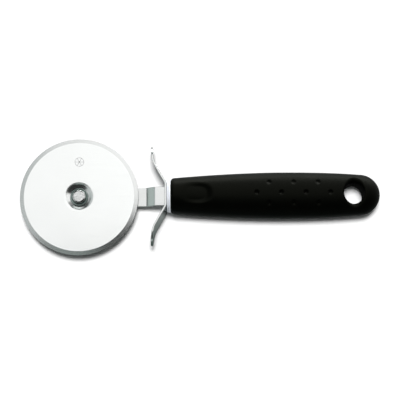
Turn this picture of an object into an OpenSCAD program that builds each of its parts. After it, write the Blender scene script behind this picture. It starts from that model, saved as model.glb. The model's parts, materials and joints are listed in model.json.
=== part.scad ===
// Rolling pastry and pizza cutter.
// A bevelled steel wheel turns on a shouldered rivet at the end of a joggled arm.
// The arm's tang passes through a winged finger guard and a collar into a moulded handle.
//
// Lengths are in millimetres. The modules are drawn about the wheel's centre, with +X towards
// the handle and Z along the wheel's axis. The last lines move the whole tool so that it lies
// on the plane Z = 0 with the origin under the middle of its box.

/* [Wheel] */
// Diameter of the cutting wheel
wheel_d = 70; // [60:1:80]
// Thickness of the wheel's sheet
wheel_t = 1; // [0.8:0.1:1.4]
// Width of the bevel ground on each side of the rim
bevel_w = 2.4; // [1.5:0.1:3.5]
// Thickness left at the cutting edge
edge_t = 0.16; // [0.1:0.02:0.3]
// Outer diameter of the dish pressed into the middle
dish_d = 17.2; // [15:0.1:20]
// Diameter of the flat floor of the dish
dish_floor_d = 10.8; // [10.4:0.1:12]
// Depth of the dish, towards the arm
dish_depth = 1.3; // [1:0.1:1.6]

/* [Rivet and washers] */
// Diameter of the rivet's head
head_d = 7.8; // [6:0.1:9]
// Height of the rivet's head
head_h = 1.8; // [1.2:0.1:2.4]
// Diameter of the shoulder that the wheel turns on
shoulder_d = 4; // [3.6:0.1:4.6]
// Diameter of the shank that passes through the arm
shank_d = 3; // [2.4:0.1:3.4]
// Diameter of the peened tail behind the arm
tail_d = 6; // [5:0.1:7]
// Height of the peened tail
tail_h = 1.3; // [1:0.1:1.6]
// Outer diameter of both washers
washer_d = 10.2; // [9:0.1:10.4]
// Thickness of the washer under the rivet's head
head_washer_t = 0.4; // [0.3:0.1:0.6]
// Thickness of the washer between the wheel and the arm
spacer_washer_t = 0.5; // [0.4:0.1:0.8]

/* [Arm] */
// Width of the arm
arm_w = 11.4; // [10:0.1:13]
// Thickness of the arm's strip
arm_t = 2; // [1.6:0.1:2.4]
// Distance from the wheel's centre to the middle of the joggle
joggle_x = 42.6; // [42.6:0.1:44]
// Steepest angle of the joggle
joggle_angle = 38; // [30:1:45]
// Radius of the joggle's bends at mid thickness
joggle_r = 2.2; // [1.8:0.1:2.6]
// Width of the tang inside the handle
tang_w = 8.4; // [7:0.1:9]
// Length of the tang behind the guard
tang_len = 62; // [50:1:75]
// Depth of the round notches that lock the tang into the core
notch_r = 1.3; // [1:0.1:1.6]

/* [Finger guard] */
// Distance from the wheel's centre to the guard's front face
guard_x = 50.8; // [50:0.1:53]
// Thickness of the guard's strip
guard_t = 1.2; // [1:0.1:1.6]
// Width of the guard's strip, along the wheel's axis
guard_w = 15.6; // [12:0.1:17]
// Half length of the flat middle
guard_flat = 6.2; // [6:0.1:8]
// Angle by which each wing leans towards the wheel
wing_angle = 29.5; // [25:0.5:36]
// Length of the straight stretch of a wing
wing_len = 10.2; // [8:0.1:12]
// Radius of the bend at the root of a wing
wing_root_r = 5.6; // [4:0.2:8]
// Radius of the bend near the tip of a wing
wing_tip_r = 16; // [10:0.5:18]
// Angle by which a wing's tip still leans towards the wheel
tip_angle = 5.5; // [0:0.5:10]
// Length of the straight tip
wing_tip_len = 5.6; // [4:0.1:7]

/* [Collar and core] */
// Length of the collar between the guard and the handle
collar_len = 1.1; // [1:0.1:2]
// Width of the collar
collar_w = 18.8; // [17:0.1:19.2]
// Height of the collar
collar_h = 18.6; // [16:0.1:19]
// Length of the core's flange, which shows in front of the grip
flange_len = 1.1; // [1:0.1:2]
// Width of the flange
flange_w = 19.6; // [18:0.1:20]
// Height of the flange
flange_h = 19.4; // [17:0.1:20]
// Length of the core inside the grip
core_len = 88; // [80:1:92]
// Width of the core's bar
core_w = 14; // [13:0.5:15]
// Height of the core's bar
core_h = 9; // [7:0.5:10]
// Number of keying ribs round the core
core_ribs = 4; // [2:1:5]

/* [Grip] */
// Length of the grip
grip_len = 123.6; // [118:0.1:130]
// Greatest width of the grip
grip_w = 27.2; // [26:0.1:30]
// Width of the grip at its front end
grip_front_w = 20.8; // [20.6:0.1:23]
// Width of the grip where its round end starts
grip_rear_w = 23.9; // [23:0.1:25.5]
// Greatest thickness of the grip
grip_t = 21.6; // [21:0.1:23]
// Thickness of the grip at its front end
grip_front_t = 20.8; // [20.4:0.1:21]
// Thickness of the grip at its round end
grip_rear_t = 17.6; // [16:0.1:19]
// Squareness of the grip's cross-section, where 2 is an ellipse
grip_square = 2.3; // [2.1:0.1:3]
// Distance from the grip's front end to the hanging hole
hole_x = 107.8; // [105:0.1:109]
// Diameter of the hanging hole
hole_d = 12.2; // [8:0.1:13]
// Radius of the rounded mouth at each end of the hanging hole
mouth_r = 1.4; // [1:0.1:2]
// Spacing of the dimples along the grip
dimple_pitch = 14.4; // [13:0.1:15]
// Spacing between the rows of dimples
dimple_row = 6.2; // [5:0.1:6.5]
// Radius of the ball that presses each dimple
dimple_ball_r = 2; // [1.8:0.1:2.4]
// Depth of each dimple
dimple_depth = 0.55; // [0.4:0.05:0.7]
// Depth of the thumb rest
rest_depth = 1.3; // [0.8:0.1:1.6]
// Length of the thumb rest
rest_len = 21; // [18:0.5:23]
// Width of the thumb rest
rest_w = 13.2; // [12:0.1:14]

/* [Hidden] */
$fn = 64;

// Clearances between pieces
running_gap = 0.05;     // round the shoulder, and on each side of the wheel
slot_gap = 0.05;        // between the tang and the slots that it passes through
shank_gap = 0.02;       // round the rivet's shank, in the arm

// Heights along the wheel's axis, from the wheel's middle plane
dish_floor_top = wheel_t / 2 - dish_depth;
dish_floor_bottom = -wheel_t / 2 - dish_depth;
head_washer_z = dish_floor_top + running_gap;
head_z = head_washer_z + head_washer_t;
spacer_washer_z = dish_floor_bottom - running_gap - spacer_washer_t;
arm_top = spacer_washer_z;
arm_drop = -(arm_top - arm_t / 2);      // from the tang's middle down to the arm's middle

// Places along the tool, from the wheel's centre
collar_x = guard_x + guard_t;
flange_x = collar_x + collar_len;
grip_x = flange_x + flange_len;
tang_end_x = guard_x + guard_t + tang_len;
hole_centre_x = grip_x + hole_x;

// The grip's outline: it swells from the front to its widest place, narrows towards the rear,
// and ends in an arc that meets the narrowing side without a corner.
wide_x = 64;            // widest place, from the grip's front end
thick_x = 45;           // thickest place
swell_power = 1.7;
narrow_power = 2.45;
end_tilt = atan((grip_w - grip_rear_w) / 2 * narrow_power / (grip_rear_x() - wide_x));
end_r = grip_rear_w / 2 / cos(end_tilt);
end_centre_x = grip_rear_x() - end_r * sin(end_tilt);
front_round = 2;        // radius round the grip's front face
grip_ring_points = 40;  // points round one cross-section of the grip

// The arc's own size fixes where the sides hand over to it, so this is near enough in one step.
function grip_rear_x() = grip_len - grip_rear_w / 2 + 1;
grip_end_x = end_centre_x + end_r;      // the grip's true length

// The tool's own box
tool_x_low = -wheel_d / 2;
tool_x_high = grip_x + grip_end_x;

rest_x = 15;            // middle of the thumb rest, from the grip's front end
rest_square = 2.6;      // squareness of the thumb rest's outline
rest_wall = 0.5;        // share of the thumb rest that its wall takes
rest_shallow = 0.35;    // depth of its front end, as a share of the full depth
middle_dimples = 4;
side_dimples = 3;
first_dimple_x = 50.6;  // first dimple of the middle row, from the grip's front end

core_round = 2;         // radius on the core's long edges
rib_len = 3;
rib_height = 1;
notches = [14, 30, 46]; // places of the tang's notches, behind the guard
tang_point = 3;         // length of the tang's tapered end
bend_steps = 8;         // flat steps in one bend of a strip
curve_steps = 12;       // steps in the dish's curve
edge_break = 0.12;      // small chamfer on washers and the rivet

// ---- Shapes and curves used by several pieces ----

// Points on an arc about a centre, from one angle to another
function arc(centre, r, from, to, steps = 8) =
    [for (i = [0:steps]) let (a = from + (to - from) * i / steps)
        [centre.x + r * cos(a), centre.y + r * sin(a)]];

// Corner points of a rectangle with rounded corners, centred on the origin
function rounded_rectangle(w, h, r) =
    [for (q = [0:3]) let (sx = (q == 0 || q == 3) ? 1 : -1, sy = q < 2 ? 1 : -1)
        each arc([sx * (w / 2 - r), sy * (h / 2 - r)], r, 90 * q, 90 * q + 90)];

function smooth(t) = let (c = min(1, max(0, t))) c * c * (3 - 2 * c);
function signed_power(v, p) = sign(v) * pow(abs(v), p);

// One point of a squarish oval of half sizes w and h
function oval_point(w, h, a, square) =
    [w * signed_power(cos(a), 2 / square), h * signed_power(sin(a), 2 / square)];

// A closed solid through rings of points that all have the same number of points
module skin(rings) {
    n = len(rings[0]);
    last = len(rings) - 1;
    sides = [for (i = [0:last - 1], j = [0:n - 1]) let (k = (j + 1) % n)
        each [[i * n + j, (i + 1) * n + k, i * n + k],
              [i * n + j, (i + 1) * n + j, (i + 1) * n + k]]];
    front = [[for (j = [0:n - 1]) j]];
    back = [[for (j = [n - 1:-1:0]) last * n + j]];
    polyhedron([for (ring = rings) each ring], concat(front, sides, back), convexity = 6);
}

// An oval plate across the tool, whose front edge is rounded
module oval_plate(x, len, w, h, edge_r) {
    inset = [for (i = [0:4]) let (a = 90 * i / 4) [edge_r * (1 - sin(a)), edge_r * (1 - cos(a))]];
    profile = concat(inset, [[0, len]]);
    skin([for (p = profile)
        [for (j = [0:grip_ring_points - 1])
            let (q = oval_point(w / 2 - p[0], h / 2 - p[0], 360 * j / grip_ring_points, grip_square))
            [x + p[1], q.x, q.y]]]);
}

module ring(outer_d, inner_d, t) {
    rotate_extrude()
        polygon([[inner_d / 2, 0], [outer_d / 2 - edge_break, 0], [outer_d / 2, edge_break],
                 [outer_d / 2, t - edge_break], [outer_d / 2 - edge_break, t], [inner_d / 2, t]]);
}

// ---- Wheel and rivet ----

// Height of the sheet's middle surface at radius r
function sheet_z(r) =
    -dish_depth * (1 - smooth((r - dish_floor_d / 2) / (dish_d - dish_floor_d) * 2));

module blade_wheel() {
    bore_r = shoulder_d / 2 + running_gap;
    dish_r = [for (i = [0:curve_steps])
        (dish_floor_d + (dish_d - dish_floor_d) * i / curve_steps) / 2];
    upper = concat([[bore_r, dish_floor_top]],
                   [for (r = dish_r) [r, sheet_z(r) + wheel_t / 2]],
                   [[wheel_d / 2 - bevel_w, wheel_t / 2], [wheel_d / 2, edge_t / 2]]);
    lower = concat([[wheel_d / 2, -edge_t / 2], [wheel_d / 2 - bevel_w, -wheel_t / 2]],
                   [for (i = [curve_steps:-1:0]) [dish_r[i], sheet_z(dish_r[i]) - wheel_t / 2]],
                   [[bore_r, dish_floor_bottom]]);
    color("gainsboro") rotate_extrude($fn = 180) polygon(concat(upper, lower));
}

module wheel_rivet() {
    head_edge = 0.8;
    tail_edge = 0.7;
    peen_r = 1;
    peen_depth = 0.5;
    arm_bottom = arm_top - arm_t;
    profile = concat(
        [[0, head_z + head_h]],
        arc([head_d / 2 - head_edge, head_z + head_h - head_edge], head_edge, 90, 0),
        [[head_d / 2, head_z + edge_break], [head_d / 2 - edge_break, head_z],
         [shoulder_d / 2, head_z], [shoulder_d / 2, arm_top],
         [shank_d / 2, arm_top], [shank_d / 2, arm_bottom], [tail_d / 2, arm_bottom]],
        arc([tail_d / 2 - tail_edge, arm_bottom - tail_h + tail_edge], tail_edge, 0, -90),
        [[peen_r, arm_bottom - tail_h], [0, arm_bottom - tail_h + peen_depth]]);
    color("silver") rotate_extrude() polygon(profile);
}

module head_washer() {
    color("lightgray")
        translate([0, 0, head_washer_z])
            ring(washer_d, shoulder_d + 2 * running_gap, head_washer_t);
}

module spacer_washer() {
    color("lightgray")
        translate([0, 0, spacer_washer_z])
            ring(washer_d, shoulder_d + 2 * running_gap, spacer_washer_t);
}

// ---- Arm with its tang ----

// Side view of the strip, from the wheel's end to the tang's end
module arm_side() {
    straight = (arm_drop - 2 * joggle_r * (1 - cos(joggle_angle))) / sin(joggle_angle);
    run = 2 * joggle_r * sin(joggle_angle) + straight * cos(joggle_angle);
    low = [joggle_x - run / 2, -arm_drop + joggle_r];     // centre of the lower bend
    high = [joggle_x + run / 2, -joggle_r];               // centre of the upper bend
    inner = joggle_r - arm_t / 2;
    outer = joggle_r + arm_t / 2;
    nose = -arm_w / 2 - 1;
    turn = joggle_angle;
    polygon(concat(
        [[nose, -arm_drop - arm_t / 2]],
        arc(low, outer, -90, -90 + turn, bend_steps),
        arc(high, inner, 90 + turn, 90, bend_steps),
        [[tang_end_x + 1, -arm_t / 2], [tang_end_x + 1, arm_t / 2]],
        arc(high, outer, 90, 90 + turn, bend_steps),
        arc(low, inner, -90 + turn, -90, bend_steps),
        [[nose, -arm_drop + arm_t / 2]]));
}

// Plan of the tang behind the guard's front face, with the notches that lock it
module tang_plan() {
    difference() {
        polygon([[guard_x, -tang_w / 2], [tang_end_x - tang_point, -tang_w / 2],
                 [tang_end_x, -tang_w / 4], [tang_end_x, tang_w / 4],
                 [tang_end_x - tang_point, tang_w / 2], [guard_x, tang_w / 2]]);
        for (n = notches, side = [-1, 1])
            translate([collar_x + n, side * tang_w / 2]) circle(notch_r);
    }
}

module arm() {
    color("silver")
        difference() {
            intersection() {
                rotate([90, 0, 0]) linear_extrude(arm_w + 2, center = true) arm_side();
                union() {
                    cylinder(h = 20, d = arm_w, center = true);
                    translate([0, -arm_w / 2, -10]) cube([guard_x, arm_w, 20]);
                    translate([0, 0, -10]) linear_extrude(20) tang_plan();
                }
            }
            cylinder(h = 20, d = shank_d + 2 * shank_gap, center = true);
        }
}

// ---- Finger guard ----

// One side of the strip in plan, from the middle of the guard to a wing's tip
function wing_side(offset) =
    let (root = [guard_x + guard_t / 2 - wing_root_r, guard_flat],
         dir = [-sin(wing_angle), cos(wing_angle)],
         root_end = root + wing_root_r * [cos(wing_angle), sin(wing_angle)],
         tip_start = root_end + wing_len * dir,
         bend = tip_start + wing_tip_r * [cos(wing_angle), sin(wing_angle)],
         tip = bend - (wing_tip_r - offset) * [cos(tip_angle), sin(tip_angle)]
             + wing_tip_len * [-sin(tip_angle), cos(tip_angle)])
    concat(arc(root, wing_root_r + offset, 0, wing_angle, bend_steps),
           arc(bend, wing_tip_r - offset, 180 + wing_angle, 180 + tip_angle, bend_steps),
           [tip]);

function reversed(points) = [for (i = [len(points) - 1:-1:0]) points[i]];
function mirrored(points) = [for (p = points) [p.x, -p.y]];

module guard_plan() {
    rear = wing_side(guard_t / 2);
    front = wing_side(-guard_t / 2);
    polygon(concat(rear, reversed(front), mirrored(front), reversed(mirrored(rear))));
}

function wing_tip_y() = let (side = wing_side(0)) side[len(side) - 1].y;

module finger_guard() {
    tip_r = guard_w / 2;
    slot_w = tang_w + 2 * slot_gap;
    slot_h = arm_t + 2 * slot_gap;
    color("silver")
        difference() {
            intersection() {
                linear_extrude(guard_w, center = true) guard_plan();
                rotate([0, 90, 0]) linear_extrude(200, center = true)
                    union() {
                        for (side = [-1, 1])
                            translate([0, side * (wing_tip_y() - tip_r)]) circle(tip_r);
                        square([guard_w, 2 * (wing_tip_y() - tip_r)], center = true);
                    }
            }
            translate([guard_x - 1, -slot_w / 2, -slot_h / 2]) cube([guard_t + 2, slot_w, slot_h]);
        }
}

// ---- Collar and core ----

module tang_slot(from, len, gap) {
    translate([from, -tang_w / 2 - gap, -arm_t / 2 - gap])
        cube([len, tang_w + 2 * gap, arm_t + 2 * gap]);
}

module collar() {
    color("white")
        difference() {
            oval_plate(collar_x, collar_len, collar_w, collar_h, 0.8);
            tang_slot(collar_x - 1, collar_len + 2, slot_gap);
        }
}

// The core's bar and its keying ribs, which the grip is moulded over
module core_bar() {
    rib_pitch = core_len / (core_ribs + 1);
    translate([grip_x, 0, 0]) rotate([90, 0, 90]) {
        linear_extrude(core_len) polygon(rounded_rectangle(core_w, core_h, core_round));
        for (i = [1:core_ribs])
            translate([0, 0, i * rib_pitch - rib_len / 2])
                linear_extrude(rib_len)
                    polygon(rounded_rectangle(core_w + 2 * rib_height, core_h + 2 * rib_height,
                                              core_round + rib_height));
    }
}

module handle_core() {
    color("whitesmoke")
        difference() {
            union() {
                core_bar();
                oval_plate(flange_x, flange_len, flange_w, flange_h, 0.3);
            }
            translate([0, 0, -arm_t / 2]) linear_extrude(arm_t) tang_plan();
        }
}

// ---- Grip ----

// Half width and half thickness of the plain grip, from its front end
function side_half_w(s) = s < wide_x
    ? (grip_w - (grip_w - grip_front_w) * pow(1 - s / wide_x, swell_power)) / 2
    : (grip_w - (grip_w - grip_rear_w)
        * pow((s - wide_x) / (grip_rear_x() - wide_x), narrow_power)) / 2;
function grip_half_w(s) = s < grip_rear_x() ? side_half_w(s)
    : sqrt(max(0, pow(end_r, 2) - pow(s - end_centre_x, 2)));
function side_half_t(s) = s < thick_x
    ? (grip_t - (grip_t - grip_front_t) * pow(1 - s / thick_x, 2)) / 2
    : (grip_t - (grip_t - grip_rear_t)
        * pow((s - thick_x) / (grip_rear_x() - thick_x), 2)) / 2;
// How far a place is from the middle of the grip, as a share of the way out to its outline
function grip_rho(s, y) = s < end_centre_x ? abs(y) / grip_half_w(s)
    : norm([s - end_centre_x, y]) / end_r;
// Height of the grip's surface above its middle plane
function grip_top(s, y) = side_half_t(s)
    * pow(max(0, 1 - pow(min(1, grip_rho(s, y)), grip_square)), 1 / grip_square);
function front_inset(s) = s >= front_round ? 0
    : front_round - sqrt(pow(front_round, 2) - pow(front_round - s, 2));

// How deep the thumb rest is at a place on the grip: a shallow ramp from the front that ends
// in a rounded wall
function rest_cut(s, y) =
    let (u = (s - rest_x) / (rest_len / 2), v = y / (rest_w / 2),
         rho = pow(pow(abs(u), rest_square) + pow(abs(v), rest_square), 1 / rest_square),
         ramp = rest_shallow + (1 - rest_shallow) * smooth((u + 1) / 1.5))
    rest_depth * ramp * smooth((1 - rho) / rest_wall);

function grip_ring(s) =
    let (w = grip_half_w(s), inset = front_inset(s))
    [for (j = [0:grip_ring_points - 1])
        let (a = 360 * j / grip_ring_points,
             y = oval_point(w, 1, a, grip_square).x,
             side = sign(round(1000 * sin(a))))
        [grip_x + s, y * (1 - inset / w),
         side * (grip_top(s, y) * (1 - inset / side_half_t(s)) - rest_cut(s, y))]];

module dimple_row_cut(first, count, y) {
    for (i = [0:count - 1], side = [-1, 1])
        let (s = first + i * dimple_pitch)
        translate([grip_x + s, y, side * (grip_top(s, y) + dimple_ball_r - dimple_depth)])
            sphere(dimple_ball_r);
}

// The hanging hole: a straight bore with a rounded mouth at each end
module hanging_hole() {
    bore_half = side_half_t(hole_x) - mouth_r;
    cylinder(h = 2 * grip_t, d = hole_d, center = true);
    for (side = [0, 1]) mirror([0, 0, side])
        rotate_extrude()
            polygon(concat([[0, bore_half]],
                           arc([hole_d / 2 + mouth_r, bore_half], mouth_r, 180, 90, bend_steps),
                           [[hole_d / 2 + mouth_r, grip_t], [0, grip_t]]));
}

module handle_grip() {
    front = [for (i = [0:5]) front_round * (1 - cos(90 * i / 5))];
    rest_part = [for (s = [3:1.75:27.5]) s];
    body_part = [for (s = [32:5:wide_x + 40]) s];
    end_part = [for (i = [0:11]) end_centre_x + end_r * sin(end_tilt + (88.5 - end_tilt) * i / 11)];
    color([0.09, 0.09, 0.09])
        difference() {
            skin([for (s = concat(front, rest_part, body_part, end_part)) grip_ring(s)]);
            core_bar();
            translate([hole_centre_x, 0, 0]) hanging_hole();
            dimple_row_cut(first_dimple_x, middle_dimples, 0);
            for (y = [-dimple_row, dimple_row])
                dimple_row_cut(first_dimple_x + dimple_pitch / 2, side_dimples, y);
        }
}

// Lays the tool on Z = 0, with the origin under the middle of its box
module placed() {
    translate([-(tool_x_low + tool_x_high) / 2, 0, grip_t / 2]) children();
}

placed() blade_wheel();
placed() wheel_rivet();
placed() head_washer();
placed() spacer_washer();
placed() arm();
placed() finger_guard();
placed() collar();
placed() handle_core();
placed() handle_grip();
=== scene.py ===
"""Looks of the pastry cutter wheel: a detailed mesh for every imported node, procedural materials, a
pale floor, soft studio lights and the camera.

Lengths are in metres, and MM turns millimetres into them. Pieces are shaped about the hub, the
point of the wheel's axis on its middle plane, with +X towards the handle and +Z up.
"""

import json
import math

import bmesh
import bpy
from mathutils import Matrix, Vector
from mathutils.geometry import tessellate_polygon


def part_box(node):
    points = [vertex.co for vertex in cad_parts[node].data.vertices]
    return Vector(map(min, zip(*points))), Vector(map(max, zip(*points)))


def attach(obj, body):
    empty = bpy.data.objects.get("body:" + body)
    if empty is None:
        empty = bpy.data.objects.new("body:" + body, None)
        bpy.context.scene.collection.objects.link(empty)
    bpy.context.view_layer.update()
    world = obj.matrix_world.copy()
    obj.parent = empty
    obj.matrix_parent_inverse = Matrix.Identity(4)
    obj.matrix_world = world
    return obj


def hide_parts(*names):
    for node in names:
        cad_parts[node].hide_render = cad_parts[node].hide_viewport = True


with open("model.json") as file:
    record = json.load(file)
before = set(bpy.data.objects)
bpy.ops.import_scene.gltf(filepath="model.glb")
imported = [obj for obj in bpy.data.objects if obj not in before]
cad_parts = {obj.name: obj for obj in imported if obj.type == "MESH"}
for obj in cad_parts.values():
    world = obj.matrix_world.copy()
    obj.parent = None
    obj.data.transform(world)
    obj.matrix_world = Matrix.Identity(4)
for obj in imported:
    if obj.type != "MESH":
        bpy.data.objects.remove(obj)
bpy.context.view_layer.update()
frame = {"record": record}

MM = 0.001

# ---- Places and sizes that the frame gives, measured from the hub ----

hub = Vector(frame["record"]["behaviour"]["joints"][0]["pos_m"])
hole = frame["record"]["mounts"][0]


def box_from_hub(node):
    low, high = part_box(node)
    return low - hub, high - hub


wheel_low, wheel_high = box_from_hub("blade_wheel")
rivet_low, rivet_high = box_from_hub("wheel_rivet")
arm_low, arm_high = box_from_hub("arm")
guard_low, guard_high = box_from_hub("finger_guard")
collar_low, collar_high = box_from_hub("collar")
core_low, core_high = box_from_hub("handle_core")
grip_low, grip_high = box_from_hub("handle_grip")

wheel_r = wheel_high.x
wheel_t = 2 * wheel_high.z
dish_depth = -wheel_low.z - wheel_t / 2
arm_w = arm_high.y - arm_low.y
arm_t = 2 * arm_high.z
arm_drop = -arm_low.z - arm_t / 2
guard_w = guard_high.z - guard_low.z
grip_x = grip_low.x
hole_x = hole["pos_m"][0] - hub.x - grip_x
hole_r = hole["dims"]["r_mm"] * MM

# ---- Details that the frame doesn't give ----

running_gap = 0.05 * MM                         # between pieces that turn or slide on each other
bevel_w = 2.4 * MM
edge_t = 0.16 * MM
dish_floor_r, dish_lip_r = 5.2 * MM, 8.1 * MM
shoulder_r = 2 * MM
shank_r = 1.5 * MM
tail_r = 3 * MM

joggle_x = 42.6 * MM
joggle_angle = math.radians(34)
joggle_r = 1.2 * MM
tang_w = 8.4 * MM
tang_point = 3 * MM
notch_r = 1.3 * MM
notch_places = [14 * MM, 30 * MM, 46 * MM]      # behind the collar's front face

guard_t = 1.2 * MM
guard_x = collar_low.x - guard_t                # the guard's flat front face
guard_flat = 6.2 * MM
wing_root_r = 5.6 * MM
wing_angle = math.radians(29.5)
wing_len = 10.2 * MM
wing_tip_r = 16 * MM
tip_angle = math.radians(5.5)
tip_len = 5.6 * MM
wing_lean = 0.15                                # how far the wings' bends are off the upright

bar_w, bar_h = 14 * MM, 9 * MM                  # the core's bar inside the grip
bar_round = 2 * MM
rib_len = 3 * MM
rib_h = 1 * MM
ribs = 4

# The grip's places are measured from its front end.
grip_square = 2.3                               # squareness of its cross-section
grip_w = grip_high.y - grip_low.y
grip_t = grip_high.z - grip_low.z
grip_front_w, grip_front_t = 20.8 * MM, 20.8 * MM
grip_rear_w, grip_rear_t = 23.9 * MM, 17.6 * MM
wide_x, thick_x = 64 * MM, 45 * MM
swell_power, narrow_power = 1.7, 2.45
front_round = 2 * MM
rear_x = 112.65 * MM                            # where the sides turn into the round end
end_tilt = math.atan((grip_w - grip_rear_w) / 2 * narrow_power / (rear_x - wide_x))
end_r = grip_rear_w / 2 / math.cos(end_tilt)
end_centre = rear_x - end_r * math.sin(end_tilt)

rest_x, rest_len, rest_w = 15 * MM, 21 * MM, 13.2 * MM
rest_depth = 1.3 * MM
rest_square = 2.6
rest_wall = 0.45                                # the share of the rest's half size that its wall takes
rest_shallow = 0.2                              # the share of its depth that it has at the front
first_dimple = 50.6 * MM
dimple_pitch = 14.4 * MM
dimple_row = 6.2 * MM
dimple_r = 1.75 * MM
dimple_depth = 0.75 * MM
mouth_half_x, mouth_half_y = 6.9 * MM, 9.2 * MM
mouth_blend = 0.2                               # how much of the surface's slope the mouth's lip keeps
flare_slope, flare_drop = 0.9, 0.7 * MM         # how the hole's flared wall falls from its lip
junction_x = 97 * MM                            # where the grip's rows hand over to the hole's rays

sharp_angle = math.radians(35)                  # faces that meet at more than this have a hard edge

# ---- Mesh helpers ----


def smooth(t):
    t = min(1.0, max(0.0, t))
    return t * t * (3 - 2 * t)


def steps_between(low, high, step):
    """Evenly spaced numbers from low up to, but not including, high."""
    count = max(1, round((high - low) / step))
    return [low + (high - low) * k / count for k in range(count)]


def rounded(corners, closed=False, steps=6):
    """Points along a line through (x, y, radius) corners, each corner with radius > 0 made round."""
    points = []
    count = len(corners)
    for i, (x, y, radius) in enumerate(corners):
        corner = Vector((x, y))
        if radius == 0 or (not closed and i in (0, count - 1)):
            points.append(corner)
            continue
        back = (Vector(corners[i - 1][:2]) - corner).normalized()
        ahead = (Vector(corners[(i + 1) % count][:2]) - corner).normalized()
        half = back.angle(ahead) / 2
        centre = corner + (back + ahead).normalized() * radius / math.sin(half)
        start = corner + back * radius / math.tan(half) - centre
        turn = (math.pi - 2 * half) * (1 if back.cross(ahead) < 0 else -1)
        for k in range(steps + 1):
            points.append(centre + Matrix.Rotation(turn * k / steps, 2) @ start)
    return points


def arc(x, y, radius, first, last, steps):
    """Points round (x, y), from the first angle to the last, as pairs of numbers."""
    points = []
    for k in range(steps + 1):
        a = first + (last - first) * k / steps
        points.append((x + radius * math.cos(a), y + radius * math.sin(a)))
    return points


def oval(half_x, half_y, square, count=96):
    """Points of a squarish oval, where square 2 is an ellipse."""
    points = []
    for j in range(count):
        a = 2 * math.pi * j / count
        x = math.copysign(abs(math.cos(a)) ** (2 / square), math.cos(a))
        y = math.copysign(abs(math.sin(a)) ** (2 / square), math.sin(a))
        points.append(Vector((half_x * x, half_y * y)))
    return points


class Shape:
    """A mesh in the making, about the hub: rings of points that are bridged and capped."""

    def __init__(self):
        self.vertices = []
        self.faces = []

    def ring(self, points):
        start = len(self.vertices)
        self.vertices += [Vector(p) for p in points]
        return list(range(start, len(self.vertices)))

    def bridge(self, rings, wrap=True):
        """Quads between each ring and the next, closed all the way round if wrap is set."""
        for a, b in zip(rings, rings[1:]):
            for j in range(len(a) if wrap else len(a) - 1):
                k = (j + 1) % len(a)
                self.faces.append((a[j], a[k], b[k], b[j]))

    def cap(self, *rings):
        """A flat face inside the first ring, with the other rings as its holes."""
        order = [i for ring in rings for i in ring]
        for triangle in tessellate_polygon([[self.vertices[i] for i in ring] for ring in rings]):
            self.faces.append(tuple(order[k] for k in triangle))

    def plate(self, outline, holes, thickness, top_r, bottom_r, steps=4):
        """A flat plate in XY, centred on Z = 0, whose edges are rounded by top_r and bottom_r."""
        heights = []
        for radius, side in ((top_r, 1), (bottom_r, -1)):
            for k in range(steps + 1):
                a = math.pi / 2 * k / steps
                height = side * (thickness / 2 - radius * (1 - math.sin(a)))
                heights.append((radius * (1 - math.cos(a)), height))
        heights.sort(key=lambda edge: -edge[1])
        rims = []
        for loop in [outline, *holes]:
            count = len(loop)
            area = sum(loop[i - 1].cross(loop[i]) for i in range(count))
            inward = 1 if (area > 0) == (loop is outline) else -1
            normals = []
            for i in range(count):
                before = (loop[i] - loop[i - 1]).normalized()
                tangent = (before + (loop[(i + 1) % count] - loop[i]).normalized()).normalized()
                normals.append(inward * Vector((-tangent.y, tangent.x)))
            rings = []
            for inset, height in heights:
                flat = [p + n * inset for p, n in zip(loop, normals)]
                rings.append(self.ring((p.x, p.y, height) for p in flat))
            self.bridge(rings)
            rims.append((rings[0], rings[-1]))
        for rim in zip(*rims):
            self.cap(*rim)

    def cut_across(self, marks):
        """Cuts the faces along planes across X, so that they can bend there."""
        work = bmesh.new()
        made = [work.verts.new(v) for v in self.vertices]
        for face in self.faces:
            work.faces.new([made[i] for i in face])
        for mark in marks:
            bmesh.ops.bisect_plane(
                work, geom=work.verts[:] + work.edges[:] + work.faces[:],
                plane_co=(mark, 0, 0), plane_no=(1, 0, 0), dist=0.0001 * MM)
        work.verts.index_update()
        self.vertices = [v.co.copy() for v in work.verts]
        self.faces = [tuple(v.index for v in face.verts) for face in work.faces]
        work.free()

    def add_mirror(self):
        """Adds the same faces again below the plane Z = 0, and gives the first new vertex's number."""
        count = len(self.vertices)
        self.vertices += [Vector((v.x, v.y, -v.z)) for v in self.vertices]
        self.faces += [tuple(i + count for i in reversed(face)) for face in self.faces]
        return count

    def finished(self, name, body, material):
        """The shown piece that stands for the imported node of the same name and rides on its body."""
        mesh = bpy.data.meshes.new(name)
        mesh.from_pydata([tuple(hub + v) for v in self.vertices], [], self.faces)
        work = bmesh.new()
        work.from_mesh(mesh)
        bmesh.ops.remove_doubles(work, verts=work.verts, dist=0.0002 * MM)
        bmesh.ops.recalc_face_normals(work, faces=work.faces)
        work.to_mesh(mesh)
        work.free()
        mesh.shade_smooth()
        mesh.set_sharp_from_angle(angle=sharp_angle)
        mesh.materials.append(materials[material])
        piece = bpy.data.objects.new(name + "_look", mesh)
        bpy.context.scene.collection.objects.link(piece)
        normals = piece.modifiers.new("flat faces stay flat", "WEIGHTED_NORMAL")
        normals.keep_sharp = True
        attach(piece, body)
        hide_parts(name)
        return piece


def lathe(profile, segments):
    """A shape turned about the wheel's axis from the (radius, height) points of its section."""
    shape = Shape()
    rings = []
    angles = [2 * math.pi * j / segments for j in range(segments)]
    for point in profile:
        rings.append(shape.ring((point.x * math.cos(a), point.x * math.sin(a), point.y) for a in angles))
    if profile[0].x > 0:
        rings.append(rings[0])
    shape.bridge(rings)
    return shape


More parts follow.
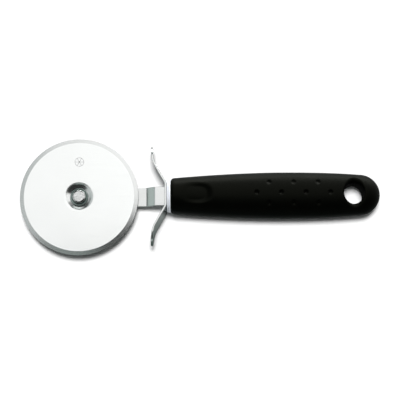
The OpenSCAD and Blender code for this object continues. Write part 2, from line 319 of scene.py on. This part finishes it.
def bent(stretches, along):
    """A point on the middle line of a bent strip, as (forward, aside), and the line's direction.

    Each stretch is a (length, turn) pair, where a turn of 0 is straight, and the strip goes on
    straight at both ends.
    """
    if along <= 0:
        return Vector((along, 0)), 0.0
    point, angle = Vector((0, 0)), 0.0
    for length, turn in stretches:
        step = min(along, length)
        if turn == 0:
            point += step * Vector((math.cos(angle), math.sin(angle)))
        else:
            radius = length / turn
            end = angle + step / radius
            point += radius * Vector((math.sin(end) - math.sin(angle), math.cos(angle) - math.cos(end)))
            angle = end
        along -= step
    return point + along * Vector((math.cos(angle), math.sin(angle))), angle


def bend_marks(stretches, degrees=3):
    """Lengths at which a strip is cut across so that its bends are smooth."""
    marks, start = [], 0.0
    for length, turn in stretches:
        if turn:
            parts = math.ceil(abs(math.degrees(turn)) / degrees)
            marks += [start + length * k / parts for k in range(parts + 1)]
        start += length
    return marks


# ---- Materials ----


def set_inputs(tree, made, inputs):
    """Gives a node's inputs, found by number or by name, a value or a link from a socket."""
    for key, value in inputs:
        socket = made.inputs[key.replace("_", " ") if isinstance(key, str) else key]
        if isinstance(value, bpy.types.NodeSocket):
            tree.links.new(value, socket)
        else:
            socket.default_value = value


def node_adder(tree):
    """A function that adds a node, with inputs in order or by name, and gives its first output."""
    def node(kind, *inputs, operation=None, **named):
        made = tree.nodes.new("ShaderNode" + kind)
        if operation:
            made.operation = operation
        set_inputs(tree, made, [*enumerate(inputs), *named.items()])
        return made.outputs[0]

    return node


def new_material(name):
    """A material, its function that adds nodes and its function that sets the shader's inputs."""
    material = bpy.data.materials.new(name)
    material.use_nodes = True
    tree = material.node_tree

    def shade(**inputs):
        set_inputs(tree, tree.nodes["Principled BSDF"], inputs.items())

    return material, node_adder(tree), shade


def calculator(node, *operations):
    """For each of the named operations, a function that adds its maths node."""
    def math_node(operation):
        return lambda *values: node("Math", *values, operation=operation)

    return [math_node(operation) for operation in operations]


def noise(node, vector, scale, detail=3.0):
    return node("TexNoise", Vector=vector, Scale=scale, Detail=detail)


def spread(node, value, low, high):
    """A noise value, which is mostly from 0.3 to 0.7, spread over low to high."""
    return node("MapRange", value, From_Min=0.3, From_Max=0.7, To_Min=low, To_Max=high)


def around(node, value, middle, swing):
    """A noise value spread over the given swing on both sides of the middle."""
    return spread(node, value, middle - swing, middle + swing)


def mix(node, share, first, second):
    return node("MixRGB", Fac=share, Color1=first, Color2=second)


def grey(value, tint=(1, 1, 1)):
    return (*[value * t for t in tint], 1)


def object_place(node):
    return node("TexCoord").node.outputs["Object"]


def distance_from_axis(node, place):
    """How far a place is from the upright line through the origin."""
    flat = node("VectorMath", place, (1, 1, 0), operation="MULTIPLY")
    return node("VectorMath", flat, operation="LENGTH").node.outputs["Value"]


def bump(node, height, strength, distance):
    return node("Bump", Height=height, Strength=strength, Distance=distance)


STEEL_TINT = (0.985, 1.0, 0.99)
line_depth = 0.01 * MM                          # of the steel's polishing lines
grain_depth = 0.03 * MM                         # of the plastic's moulded grain


def drawn_steel(name, base, roughness, grain, strength, tint=STEEL_TINT, dull=0.94):
    """Stainless steel with fine polishing lines.

    Grain is the noise's scale along each axis, and dull the share of the base brightness that the
    dullest lines have.
    """
    material, node, shade = new_material(name)
    place = object_place(node)
    lines = noise(node, node("Mapping", place, Scale=grain), 1.0, 4.0)
    clouds = noise(node, place, 60.0, 2.0)
    cloudy = spread(node, clouds, roughness - 0.02, roughness + 0.03)
    shade(
        Base_Color=mix(node, spread(node, lines, 0.0, 1.0), grey(dull * base, tint), grey(base, tint)),
        Roughness=node("Math", around(node, lines, 0.0, 0.03), cloudy, operation="ADD"),
        Metallic=1.0,
        Normal=bump(node, lines, strength, line_depth),
    )
    return material


def etched_mark(node, place):
    """A share that is 1 on the upper side's small etched mark, a wheel cut in six, and 0 beside it."""
    mark = Vector((0, 21 * MM, 0))
    mark_r = 2.6 * MM
    line = 0.2 * MM
    cuts = 3                                    # lines through the mark's middle
    subtract, multiply, absolute = calculator(node, "SUBTRACT", "MULTIPLY", "ABSOLUTE")
    below, above, greater = calculator(node, "LESS_THAN", "GREATER_THAN", "MAXIMUM")
    sine, arctan = calculator(node, "SINE", "ARCTAN2")

    from_mark = node("VectorMath", place, mark, operation="SUBTRACT")
    parts = node("SeparateXYZ", from_mark).node.outputs
    radius = distance_from_axis(node, from_mark)
    on_ring = below(absolute(subtract(radius, mark_r)), line / 2)
    off_cut = multiply(absolute(sine(multiply(arctan(parts["Y"], parts["X"]), cuts))), radius)
    on_cut = multiply(below(off_cut, cuts * line / 2), below(radius, mark_r))
    return multiply(greater(on_ring, on_cut), above(parts["Z"], 0.0))


def blade_steel():
    """Polished sheet with a satin ground bevel and a small etched mark."""
    rings_per_metre = 9000.0
    bevel_rougher, mark_rougher = 0.06, 0.3
    material, node, shade = new_material("blade_steel")
    add, multiply, above = calculator(node, "ADD", "MULTIPLY", "GREATER_THAN")
    place = node("VectorMath", object_place(node), hub, operation="SUBTRACT")
    lines = noise(node, node("Mapping", place, Scale=(60, 5000, 300)), 1.0, 4.0)
    clouds = noise(node, place, 45.0, 2.0)
    radius = distance_from_axis(node, place)
    on_bevel = above(radius, wheel_r - bevel_w)
    rings = noise(node, node("CombineXYZ", multiply(radius, rings_per_metre), 0.0, 0.0), 1.0, 2.0)
    etched = etched_mark(node, place)

    polished = mix(node, clouds, grey(0.66, STEEL_TINT), grey(0.70, STEEL_TINT))
    ground = mix(node, rings, grey(0.56, STEEL_TINT), grey(0.64, STEEL_TINT))
    rough = add(spread(node, lines, 0.16, 0.22), multiply(on_bevel, bevel_rougher))
    shade(
        Base_Color=mix(node, etched, mix(node, on_bevel, polished, ground), grey(0.30)),
        Roughness=add(rough, multiply(etched, mark_rougher)),
        Metallic=1.0,
        Normal=bump(node, mix(node, on_bevel, lines, rings), 0.05, line_depth),
    )
    return material


def moulded_plastic(name, dark, light, roughness, gloss, grain, strength, rough_bore=0.0, tint=(1, 1, 1)):
    """Moulded plastic: a cloudy colour, fine moulded grain and small changes in gloss.

    Inside the hanging hole, where the mould isn't polished, it is rougher by rough_bore.
    """
    bore_reach = hole_r + 0.3 * MM
    material, node, shade = new_material(name)
    add, multiply, below = calculator(node, "ADD", "MULTIPLY", "LESS_THAN")
    place = object_place(node)
    clouds = noise(node, place, 90.0)
    texture = noise(node, place, 1 / grain, 2.0)
    rough = add(around(node, clouds, roughness, 0.03), around(node, texture, 0.0, 0.03))
    if rough_bore:
        from_hole = node("VectorMath", place, Vector(hole["pos_m"]), operation="SUBTRACT")
        in_bore = below(distance_from_axis(node, from_hole), bore_reach)
        rough = add(rough, multiply(in_bore, rough_bore))
    shade(
        Base_Color=mix(node, spread(node, clouds, 0.0, 1.0), (*dark, 1), (*light, 1)),
        Roughness=rough,
        Specular_IOR_Level=gloss,
        Specular_Tint=(*tint, 1),
        Normal=bump(node, texture, strength, grain_depth),
    )
    return material


def floor_paper():
    """Matt white studio paper, with painted shade in its reflections: there its colour is painted a darker
    green-grey than to look at, most so in front of the tool.
    """
    painted_reflection_shade = (0.0, 0.03, 0.02, 1)
    change_y = 0.03
    painted_shade_in_front, painted_shade_behind = 0.9, 0.3
    material, node, shade = new_material("floor_paper")
    place = object_place(node)
    fibres = noise(node, place, 900.0)
    share = node(
        "MapRange", node("SeparateXYZ", place).node.outputs["Y"], From_Min=-change_y, From_Max=change_y,
        To_Min=painted_shade_in_front, To_Max=painted_shade_behind)
    reflected = node("LightPath").node.outputs["Is Glossy Ray"]
    # painted shade: in reflections only, the paper's colour is mixed towards a dark green-grey, more so in
    # front of the tool
    painted_shade_share = node("Math", share, reflected, operation="MULTIPLY")
    shade(
        Base_Color=mix(node, painted_shade_share, mix(node, fibres, grey(0.86), grey(0.9)), painted_reflection_shade),
        Roughness=0.9,
        Specular_IOR_Level=0.1,
        Normal=bump(node, fibres, 0.1, 0.05 * MM),
    )
    return material


materials = {
    "blade_steel": blade_steel(),
    "rivet_steel": drawn_steel("rivet_steel", 0.6, 0.18, (900, 900, 900), 0.9, dull=0.55),
    # painted reflection: the washers' steel is given a dark green-grey colour that stands in for the dark
    # surroundings it reflects
    "washer_steel": drawn_steel("washer_steel", 0.22, 0.36, (1500, 1500, 1500), 0.3, (0.8, 1.0, 0.94)),
    "strip_steel": drawn_steel("strip_steel", 0.585, 0.2, (80, 4000, 4000), 0.12),
    "white_plastic": moulded_plastic(
        "white_plastic", dark=(0.74, 0.77, 0.83), light=(0.80, 0.83, 0.88),
        roughness=0.32, gloss=0.5, grain=0.2 * MM, strength=0.15),
    "black_plastic": moulded_plastic(
        "black_plastic", dark=(0.0008, 0.0009, 0.0006), light=(0.0016, 0.0018, 0.0012),
        roughness=0.5, gloss=0.085, grain=0.22 * MM, strength=0.35, rough_bore=0.4, tint=(0.94, 1.0, 0.8)),
}

# ---- Wheel, rivet and washers ----


def blade_wheel():
    """Sheet with a dish pressed into its middle, ground to a bevel on both sides of its rim."""
    floor_round, lip_round, bevel_round, edge_round = 0.4 * MM, 5 * MM, 0.5 * MM, 0.03 * MM
    top = wheel_t / 2
    dish_z = top - dish_depth
    upper = [(shoulder_r + running_gap, dish_z, 0), (dish_floor_r, dish_z, floor_round),
             (dish_lip_r, top, lip_round), (wheel_r - bevel_w, top, bevel_round)]
    lower = [(r, z - wheel_t, radius) for r, z, radius in reversed(upper)]
    edge = [(wheel_r, edge_t / 2, edge_round), (wheel_r, -edge_t / 2, edge_round)]
    section = rounded(upper + edge + lower, closed=True)
    return lathe(section, 256).finished("blade_wheel", "wheel", "blade_steel")


def wheel_rivet():
    """A low head, the shoulder that the wheel turns on, the shank in the arm and a peened tail."""
    head_r = rivet_high.x
    top, bottom = rivet_high.z, rivet_low.z
    under_head = box_from_hub("head_washer")[1].z
    arm_top = -arm_drop + arm_t / 2
    arm_bottom = -arm_drop - arm_t / 2
    crown_r, crown_z, crown_round = 0.78 * head_r, top - 0.05 * MM, 0.8 * MM
    rim_z, rim_round, under_round = top - 0.35 * MM, 0.3 * MM, 0.12 * MM
    tail_upper_round, tail_lower_round = 0.1 * MM, 0.6 * MM
    peen_r, peen_z, peen_round = 1.1 * MM, bottom + 0.5 * MM, 0.25 * MM
    section = rounded([
        (0, top, 0), (crown_r, crown_z, crown_round), (head_r, rim_z, rim_round),
        (head_r, under_head, under_round), (shoulder_r, under_head, 0), (shoulder_r, arm_top, 0),
        (shank_r, arm_top, 0), (shank_r, arm_bottom, 0), (tail_r, arm_bottom, tail_upper_round),
        (tail_r, bottom, tail_lower_round), (peen_r, bottom, peen_round), (0, peen_z, 0)])
    return lathe(section, 128).finished("wheel_rivet", "handle", "rivet_steel")


def head_washer():
    """A cupped washer: flat under the rivet's head, dipping at the head's rim and rising from there."""
    corner_round, foot_round, rim_round = 0.05 * MM, 0.1 * MM, 0.06 * MM
    low, high = box_from_hub("head_washer")
    inner = shoulder_r + running_gap
    flat_r = rivet_high.x - 0.4 * MM
    dip_r, dip_z = rivet_high.x - 0.1 * MM, low.z + 0.06 * MM
    section = rounded([
        (inner, low.z, corner_round), (high.x, low.z, foot_round), (high.x, high.z, rim_round),
        (dip_r, dip_z, foot_round), (flat_r, high.z, corner_round), (inner, high.z, corner_round),
    ], closed=True)
    return lathe(section, 128).finished("head_washer", "handle", "washer_steel")


def spacer_washer():
    corner_round, rim_round = 0.05 * MM, 0.12 * MM
    low, high = box_from_hub("spacer_washer")
    inner = shoulder_r + running_gap
    section = rounded([
        (inner, low.z, corner_round), (high.x, low.z, rim_round),
        (high.x, high.z, rim_round), (inner, high.z, corner_round)], closed=True)
    return lathe(section, 128).finished("spacer_washer", "handle", "washer_steel")


# ---- Arm and finger guard ----


def tang_side():
    """The tang's plan on one side, as (x, half width) points: notches first, then the tapered end."""
    points = []
    for place in notch_places:
        notch = arc(collar_low.x + place, tang_w / 2, notch_r, math.pi, 2 * math.pi, 8)
        points += [Vector(p) for p in notch]
    points.append(Vector((arm_high.x - tang_point, tang_w / 2)))
    points.append(Vector((arm_high.x, tang_w / 4)))
    return points


def arm():
    """The joggled bar: a punched blank with shoulders and a notched tang, bent in two places."""
    edge_r = 0.3 * MM
    bend_run = joggle_r * math.sin(joggle_angle)
    slope = (arm_drop - 2 * joggle_r * (1 - math.cos(joggle_angle))) / math.sin(joggle_angle)
    run = 2 * bend_run + slope * math.cos(joggle_angle)
    curve = joggle_r * joggle_angle
    stretches = [(joggle_x - run / 2, 0), (curve, joggle_angle), (slope, 0), (curve, -joggle_angle)]
    saved = 2 * curve + slope - run             # how much longer the blank is than the bent arm

    half = arm_w / 2
    nose = [Vector(p) for p in arc(0, 0, half, math.pi / 2, 3 * math.pi / 2, 48)]
    side = [(guard_x, half), (guard_x, tang_w / 2), *tang_side()]
    side = [Vector((x + saved, y)) for x, y in side]
    outline = nose + [Vector((p.x, -p.y)) for p in side] + side[::-1]
    rivet_hole = oval(shank_r, shank_r, 2, 48)

    shape = Shape()
    shape.plate(outline, [rivet_hole], arm_t, edge_r, edge_r)
    shape.cut_across(bend_marks(stretches))
    for v in shape.vertices:
        point, angle = bent(stretches, v.x)
        v.xyz = point.x - v.z * math.sin(angle), v.y, point.y + v.z * math.cos(angle) - arm_drop
    return shape.finished("arm", "handle", "strip_steel")


def finger_guard():
    """The winged strip: a blank with round ends and the tang's slot, bent alike on both sides."""
    edge_r = 0.25 * MM
    stretches = [(guard_flat, 0), (wing_root_r * wing_angle, wing_angle), (wing_len, 0),
                 (wing_tip_r * (wing_angle - tip_angle), tip_angle - wing_angle)]
    half_len = sum(length for length, turn in stretches) + tip_len
    half = guard_w / 2
    round_end = [Vector(p) for p in arc(half_len - half, 0, half, -math.pi / 2, math.pi / 2, 48)]
    outline = round_end + [-p for p in round_end]
    slot_x, slot_y = tang_w / 2 + running_gap, arm_t / 2 + running_gap
    slot = [Vector(p) for p in ((slot_x, slot_y), (-slot_x, slot_y), (-slot_x, -slot_y), (slot_x, -slot_y))]

    shape = Shape()
    shape.plate(outline, [slot], guard_t, edge_r, edge_r)
    marks = bend_marks(stretches)
    shape.cut_across([-m for m in marks] + marks)
    for v in shape.vertices:
        side = math.copysign(1, v.x)
        point, angle = bent(stretches, abs(v.x))
        middle = guard_x + guard_t / 2 - point.y
        lean = wing_lean * math.sin(angle) * v.y
        v.xyz = middle + v.z * math.cos(angle) - lean, side * (point.x + v.z * math.sin(angle)), v.y
    return shape.finished("finger_guard", "handle", "strip_steel")


# ---- Collar and core ----


def slot_corners(half_y):
    """The tang's rectangular section, as (y, z) corners."""
    half_z = arm_t / 2
    return [(half_y, half_z), (-half_y, half_z), (-half_y, -half_z), (half_y, -half_z)]


def collar():
    """The white ring in front of the core, rounded more towards the guard."""
    front_r, rear_r = 0.7 * MM, 0.15 * MM
    length = collar_high.x - collar_low.x
    outline = oval(collar_high.y, collar_high.z, grip_square)
    slot = [Vector(p) for p in slot_corners(tang_w / 2 + running_gap)]
    shape = Shape()
    shape.plate(outline, [slot], length, rear_r, front_r, steps=6)
    for v in shape.vertices:
        v.xyz = collar_low.x + length / 2 + v.z, v.x, v.y
    return shape.finished("collar", "handle", "white_plastic")


def bar_sections():
    """The ribbed bar, as (x, growth) pairs, where growth is how far a rib stands out."""
    bar_len = core_high.x - grip_x
    sections = [(grip_x, 0)]
    for i in range(1, ribs + 1):
        start = grip_x + i * bar_len / (ribs + 1) - rib_len / 2
        sections += [(start, 0), (start, rib_h), (start + rib_len, rib_h), (start + rib_len, 0)]
    return sections + [(core_high.x, 0)]


def bar_rings(shape):
    """The bar's rings, which are the core's outside and the grip's inside."""
    rings = []
    for x, growth in bar_sections():
        half_y, half_z, radius = bar_w / 2 + growth, bar_h / 2 + growth, bar_round + growth
        corners = [(half_y, -half_z, radius), (half_y, half_z, radius),
                   (-half_y, half_z, radius), (-half_y, -half_z, radius)]
        rings.append(shape.ring((x, p.x, p.y) for p in rounded(corners, closed=True)))
    return rings


def handle_core():
    """The white insert: a flange in front of the grip, and a ribbed bar round the tang inside it."""
    edge_r, edge_steps = 0.3 * MM, 6
    shape = Shape()
    flange = []
    for k in range(edge_steps + 1):
        a = math.pi / 2 * k / edge_steps
        inset = edge_r * (1 - math.sin(a))
        section = oval(core_high.y - inset, core_high.z - inset, grip_square)
        flange.append(shape.ring((core_low.x + edge_r * (1 - math.cos(a)), p.x, p.y) for p in section))
    section = oval(core_high.y, core_high.z, grip_square)
    flange.append(shape.ring((grip_x, p.x, p.y) for p in section))
    shape.bridge(flange)
    bar = bar_rings(shape)
    shape.cap(flange[-1], bar[0])
    shape.bridge(bar)
    shape.cap(bar[-1])
    pocket = [shape.ring((core_low.x, y, z) for y, z in slot_corners(tang_w / 2))]
    for point in tang_side():
        pocket.append(shape.ring((point.x, y, z) for y, z in slot_corners(point.y)))
    shape.bridge(pocket)
    shape.cap(flange[0], pocket[0])
    shape.cap(pocket[-1])
    return shape.finished("handle_core", "handle", "white_plastic")


# ---- Grip ----


def grip_half_w(s):
    """Half width of the grip at a place along it."""
    if s < wide_x:
        return (grip_w - (grip_w - grip_front_w) * (1 - s / wide_x) ** swell_power) / 2
    if s < rear_x:
        return (grip_w - (grip_w - grip_rear_w) * ((s - wide_x) / (rear_x - wide_x)) ** narrow_power) / 2
    return math.sqrt(max(0, end_r ** 2 - (s - end_centre) ** 2))


def grip_half_t(s):
    """Half thickness along the grip's middle, before the round end."""
    if s < thick_x:
        return (grip_t - (grip_t - grip_front_t) * (1 - s / thick_x) ** 2) / 2
    return (grip_t - (grip_t - grip_rear_t) * ((s - thick_x) / (rear_x - thick_x)) ** 2) / 2


def dimples():
    """Places (s, y) of the dimples: four along the middle and three, half a pitch on, at either side."""
    places = [(first_dimple + i * dimple_pitch, 0) for i in range(4)]
    for i in range(3):
        s = first_dimple + (i + 0.5) * dimple_pitch
        places += [(s, -dimple_row), (s, dimple_row)]
    return places


dimple_places = dimples()


def rest_cut(s, y):
    """Depth of the thumb rest: a shallow ramp from the front that ends in a rounded wall."""
    ramp_end = 0.5
    u, v = (s - rest_x) / (rest_len / 2), y / (rest_w / 2)
    rho = (abs(u) ** rest_square + abs(v) ** rest_square) ** (1 / rest_square)
    ramp = rest_shallow + (1 - rest_shallow) * smooth((u + 1) / (ramp_end + 1))
    return rest_depth * ramp * smooth((1 - rho) / rest_wall)


def dimple_cut(s, y):
    """Depth of the dimple at a place, or 0 between the dimples."""
    cut = 0.0
    for place_s, place_y in dimple_places:
        share = ((s - place_s) ** 2 + (y - place_y) ** 2) / dimple_r ** 2
        if share < 1:
            cut = dimple_depth * (1 - share) ** 2
    return cut


def grip_top(s, y):
    """Height of the grip's upper surface."""
    rho = abs(y) / grip_half_w(s) if s < end_centre else math.hypot(s - end_centre, y) / end_r
    crown = grip_half_t(s) * max(0, 1 - min(1, rho) ** grip_square) ** (1 / grip_square)
    return crown - rest_cut(s, y) - dimple_cut(s, y)


def row_shares():
    """Places across the grip as shares of its half width: even in the middle, finer at the edges."""
    even, even_steps, edge_steps = 0.6, 24, 16
    start = math.acos(even ** (grip_square / 2))
    outer = [math.cos(start * (1 - k / edge_steps)) ** (2 / grip_square) for k in range(edge_steps + 1)]
    inner = steps_between(-even, even, even / even_steps)
    return [-share for share in reversed(outer)][:-1] + inner + outer


def grip_row(s):
    """Points across the upper surface, drawn in where the grip's front edge is rounded."""
    inset = 0.0
    if s < front_round:
        inset = front_round - math.sqrt(front_round ** 2 - (front_round - s) ** 2)
    points = []
    for share in row_shares():
        y = share * grip_half_w(s)
        z = grip_top(s, y) * (1 - inset / grip_half_t(s))
        points.append((grip_x + s, y * (1 - inset / grip_half_w(s)), z))
    return points


def outline_behind(s_from):
    """Points (s, y) of the grip's outline, from its +Y side at s_from round the end to its -Y side."""
    side_step, end_steps = 0.7 * MM, 56
    side = [(s, grip_half_w(s)) for s in steps_between(s_from, rear_x, side_step)]
    first = math.pi / 2 - end_tilt
    round_end = arc(end_centre, 0, end_r, first, -first, end_steps)
    return side + round_end + [(s, -y) for s, y in reversed(side)]


def flare(direction):
    """The hole's wall and flared mouth in one direction, from the middle plane up to the mouth's lip.

    Gives their (x, y, z) points from the hole's axis, without the lip, and the lip's (x, y).
    """
    steps = 9
    probe = 0.1 * MM
    wall = direction * hole_r
    reach = 1 / math.hypot(direction.x / mouth_half_x, direction.y / mouth_half_y)
    lip = direction * reach
    lip_z = grip_top(hole_x + lip.x, lip.y)
    inner = direction * (reach - probe)
    slope = (lip_z - grip_top(hole_x + inner.x, inner.y)) / probe
    corner_z = lip_z - mouth_blend * slope * (reach - hole_r)
    end_z = corner_z - flare_slope * (reach - hole_r) - flare_drop
    points = [(wall.x, wall.y, 0.0), (wall.x, wall.y, end_z / 2)]
    for k in range(steps):
        t = k / steps
        flat = wall.lerp(lip, t * t)
        z = (1 - t) ** 2 * end_z + 2 * t * (1 - t) * corner_z + t * t * lip_z
        points.append((flat.x, flat.y, z))
    return points, lip


def hole_rays(shape, junction):
    """The upper surface round the hanging hole, in rays from its wall out to the junction row."""
    steps, crowding = 26, 1.8
    outer = [(p[0] - grip_x, p[1]) for p in junction] + outline_behind(junction_x)[1:-1]
    rays = []
    for s, y in outer:
        edge = Vector((s - hole_x, y))
        ray, lip = flare(edge.normalized())
        for k in range(steps + 1):
            flat = lip.lerp(edge, 1 - (1 - k / steps) ** crowding)
            ray.append((flat.x, flat.y, grip_top(hole_x + flat.x, flat.y)))
        rays.append(shape.ring((grip_x + hole_x + x, y, z) for x, y, z in ray))
    rays.append(rays[0])
    shape.bridge(rays, wrap=False)


def handle_grip():
    """The moulded grip: rows up to the hole, rays round it, the same below, and the core's pocket."""
    front_steps = 8
    rest_step, plain_step, dimple_step = 0.5 * MM, 1.5 * MM, 0.3 * MM
    behind_rest, before_dimples = 1 * MM, 2 * MM
    rest_end = rest_x + rest_len / 2 + behind_rest
    dimples_start = first_dimple - before_dimples
    shape = Shape()
    front = [front_round * (1 - math.cos(math.pi / 2 * k / front_steps)) for k in range(front_steps)]
    stations = (front + steps_between(front_round, rest_end, rest_step)
                + steps_between(rest_end, dimples_start, plain_step)
                + steps_between(dimples_start, junction_x, dimple_step) + [junction_x])
    rows = [shape.ring(grip_row(s)) for s in stations]
    shape.bridge(rows, wrap=False)
    hole_rays(shape, grip_row(junction_x))
    mirrored = shape.add_mirror()
    front_ring = rows[0] + [i + mirrored for i in reversed(rows[0][1:-1])]
    pocket = bar_rings(shape)
    shape.cap(front_ring, pocket[0])
    shape.bridge(pocket)
    shape.cap(pocket[-1])
    shape.finished("handle_grip", "handle", "black_plastic")


wheel_pieces = [blade_wheel(), wheel_rivet(), head_washer()]
steel_pieces = [*wheel_pieces, spacer_washer(), arm(), finger_guard()]
white_pieces = [collar(), handle_core()]
handle_grip()

# ---- Floor, lights and camera ----


def paper_floor():
    half = 4.0
    corners = [(-half, -half, 0), (half, -half, 0), (half, half, 0), (-half, half, 0)]
    mesh = bpy.data.meshes.new("floor")
    mesh.from_pydata(corners, [], [(0, 1, 2, 3)])
    mesh.materials.append(floor_paper())
    made = bpy.data.objects.new("floor", mesh)
    bpy.context.scene.collection.objects.link(made)
    return made


floor = paper_floor()

GREENISH = (0.86, 1.0, 0.96)
BLUISH = (0.95, 1.0, 1.0)
floor_light = (-0.02, 0.39, 3.6)


def softbox(name, centre, width, height, radiance, tint=(1, 1, 1), lights=None, facing=(0, 0, -1)):
    """An area light whose power follows from how bright its face is to look at.

    It lights only the given pieces or, without any, everything but the floor, so that the paper
    stays white and the object's reflections are set apart from it.
    """
    lamp = bpy.data.lights.new(name, "AREA")
    lamp.shape = "RECTANGLE"
    lamp.size, lamp.size_y = width, height
    lamp.energy = radiance * math.pi * width * height
    lamp.color = tint
    receivers = bpy.data.collections.new(name + "_receivers")
    for receiver in lights or [floor]:
        receivers.objects.link(receiver)
    if not lights:
        receivers.collection_objects[0].light_linking.link_state = "EXCLUDE"
    made = bpy.data.objects.new(name, lamp)
    made.location = centre
    made.rotation_euler = Vector(facing).to_track_quat("-Z", "Y").to_euler()
    made.light_linking.receiver_collection = receivers
    made.visible_camera = False
    bpy.context.scene.collection.objects.link(made)


def wall(name, x, y, facing, width, height):
    """An upright softbox, low down and away from the tool, that the steel alone reflects."""
    foot, radiance = 0.12, 0.6
    centre = (x, y, foot + height / 2)
    softbox(name, centre, width, height, radiance, GREENISH, steel_pieces, (*facing, 0))


softbox("floor_lamp", floor_light, 0.88, 0.88, 54, lights=[floor])
softbox("floor_fill", floor_light, 2.2, 2.2, 2.2, lights=[floor])
softbox("white_fill", (0, 0.3, 1.8), 2.0, 2.0, 2.5, lights=white_pieces)
softbox("wheel_right", (0.6, 0.25, 0.7), 0.4, 0.6, 1.35, lights=wheel_pieces)
softbox("wheel_back", (-0.1, 1.15, 0.7), 0.9, 0.4, 0.75, lights=wheel_pieces)
softbox("overhead_left", (-0.235, 0.305, 0.7), 0.21, 0.61, 1.4)
softbox("overhead_right", (0.12, 0.34, 0.7), 0.5, 0.6, 1.5)
softbox("left_panel", (-0.62, 0.15, 0.7), 0.56, 0.9, 0.75, BLUISH, steel_pieces)
wall("left_wall", -1.2, -0.45, (1, 0), 1.7, 0.8)
wall("right_wall", 1.2, 0, (-1, 0), 2.2, 0.8)
wall("front_wall", 0, -1.2, (0, 1), 2.2, 0.5)
wall("back_wall", 0.45, 1.2, (0, -1), 1.7, 0.8)
wall("corner_wall", -0.85, 0.85, (1, -1), 1.2, 0.5)
softbox("front_panel", (-0.22, -0.3, 1.1), 0.38, 0.4, 0.38, GREENISH)
softbox("key_strip", (0.3, 1.0, 0.2), 1.4, 0.4, 7.0, facing=(-0.3, -1.0, -0.2))


def studio_world():
    """White to look at, but dark overhead and a soft grey near the horizon for the object."""
    horizon_end, dark_from = 0.3, 0.45          # as the upward share of a direction
    horizon_light, overhead_light = 0.22, 0.03
    world = bpy.data.worlds.new("studio")
    world.use_nodes = True
    node = node_adder(world.node_tree)
    direction = node("TexCoord").node.outputs["Generated"]
    light = node(
        "MapRange", node("SeparateXYZ", direction).node.outputs["Z"], From_Min=horizon_end,
        From_Max=dark_from, To_Min=horizon_light, To_Max=overhead_light)
    looked_at = node("LightPath").node.outputs["Is Camera Ray"]
    background = world.node_tree.nodes["Background"]
    strength = node("Math", light, looked_at, operation="MAXIMUM")
    set_inputs(world.node_tree, background, [("Strength", strength), ("Color", (0.93, 1.0, 0.97, 1))])
    bpy.context.scene.world = world


studio_world()
bpy.context.scene.view_settings.view_transform = "Standard"


def camera():
    """Looks down from a little in front, at the middle of the whole tool."""
    distance = 0.756
    focal_mm, sensor_mm = 115.07, 36
    tilt = math.radians(11.2)
    roll = math.radians(-0.37)
    tool_middle = Vector((71.57 * MM, -1.92 * MM, 0))
    turn = Matrix.Rotation(roll, 3, "Z")
    aim = hub + turn @ tool_middle
    lens = bpy.data.cameras.new("camera")
    lens.sensor_width = sensor_mm
    lens.lens = focal_mm
    made = bpy.data.objects.new("camera", lens)
    made.location = aim + turn @ Vector((0, -math.sin(tilt), math.cos(tilt))) * distance
    made.rotation_euler = (turn @ Matrix.Rotation(tilt, 3, "X")).to_euler()
    bpy.context.scene.collection.objects.link(made)
    bpy.context.scene.camera = made


camera()
